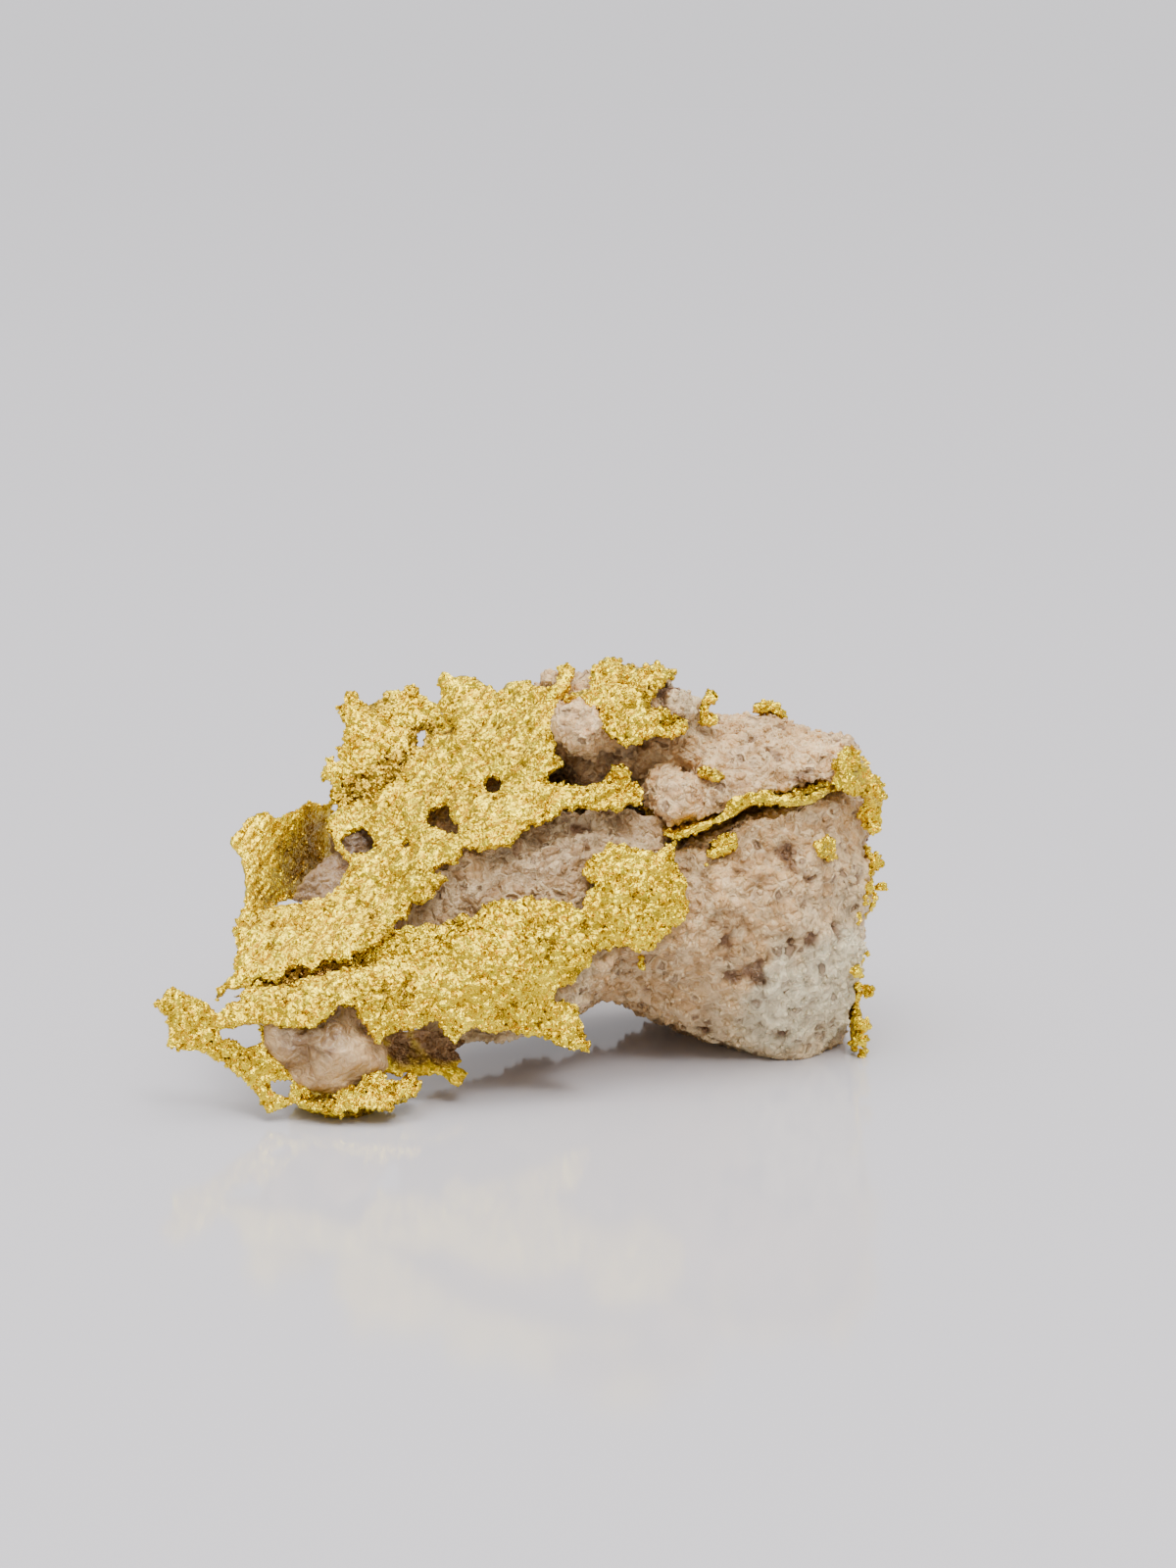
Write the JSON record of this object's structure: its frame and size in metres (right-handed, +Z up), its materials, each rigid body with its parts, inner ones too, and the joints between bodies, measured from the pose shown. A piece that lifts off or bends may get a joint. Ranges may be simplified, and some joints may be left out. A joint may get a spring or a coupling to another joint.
{
  "type": "leaf gold specimen",
  "caption": "Natural leaf gold: thin ragged gold sheets in and on a cracked lump of granular quartz, standing free past its left end.",
  "frame": {"origin": "on the surface that the specimen rests on, under the middle of its bounding box", "axes": "+X to the right as the specimen is shown, towards the quartz's thick end; +Y back, away from the viewer; +Z up"},
  "size_m": [0.0184, 0.0124, 0.0101],
  "materials": {
    "native_gold": "satin",
    "granular_quartz": "matte"
  },
  "bodies": {
    "root": {"gold_upper_leaf": "native_gold", "gold_lower_leaf": "native_gold", "gold_left_spray": "native_gold", "gold_bottom_leaf": "native_gold", "gold_bottom_fold": "native_gold", "gold_middle_leaf": "native_gold", "gold_left_fin": "native_gold", "gold_back_leaf": "native_gold", "gold_top_crust": "native_gold", "gold_tip_spray": "native_gold", "gold_right_cluster": "native_gold", "gold_crack_leaf": "native_gold", "gold_right_leaf": "native_gold", "gold_rear_leaf": "native_gold", "gold_rear_crest": "native_gold", "gold_nugget_top": "native_gold", "gold_nugget_slab": "native_gold", "gold_nugget_seam": "native_gold", "gold_nugget_face": "native_gold", "quartz_block": "granular_quartz", "quartz_upper_slab": "granular_quartz", "quartz_pebble": "granular_quartz", "quartz_back_stone": "granular_quartz"}
  },
  "joints": []
}
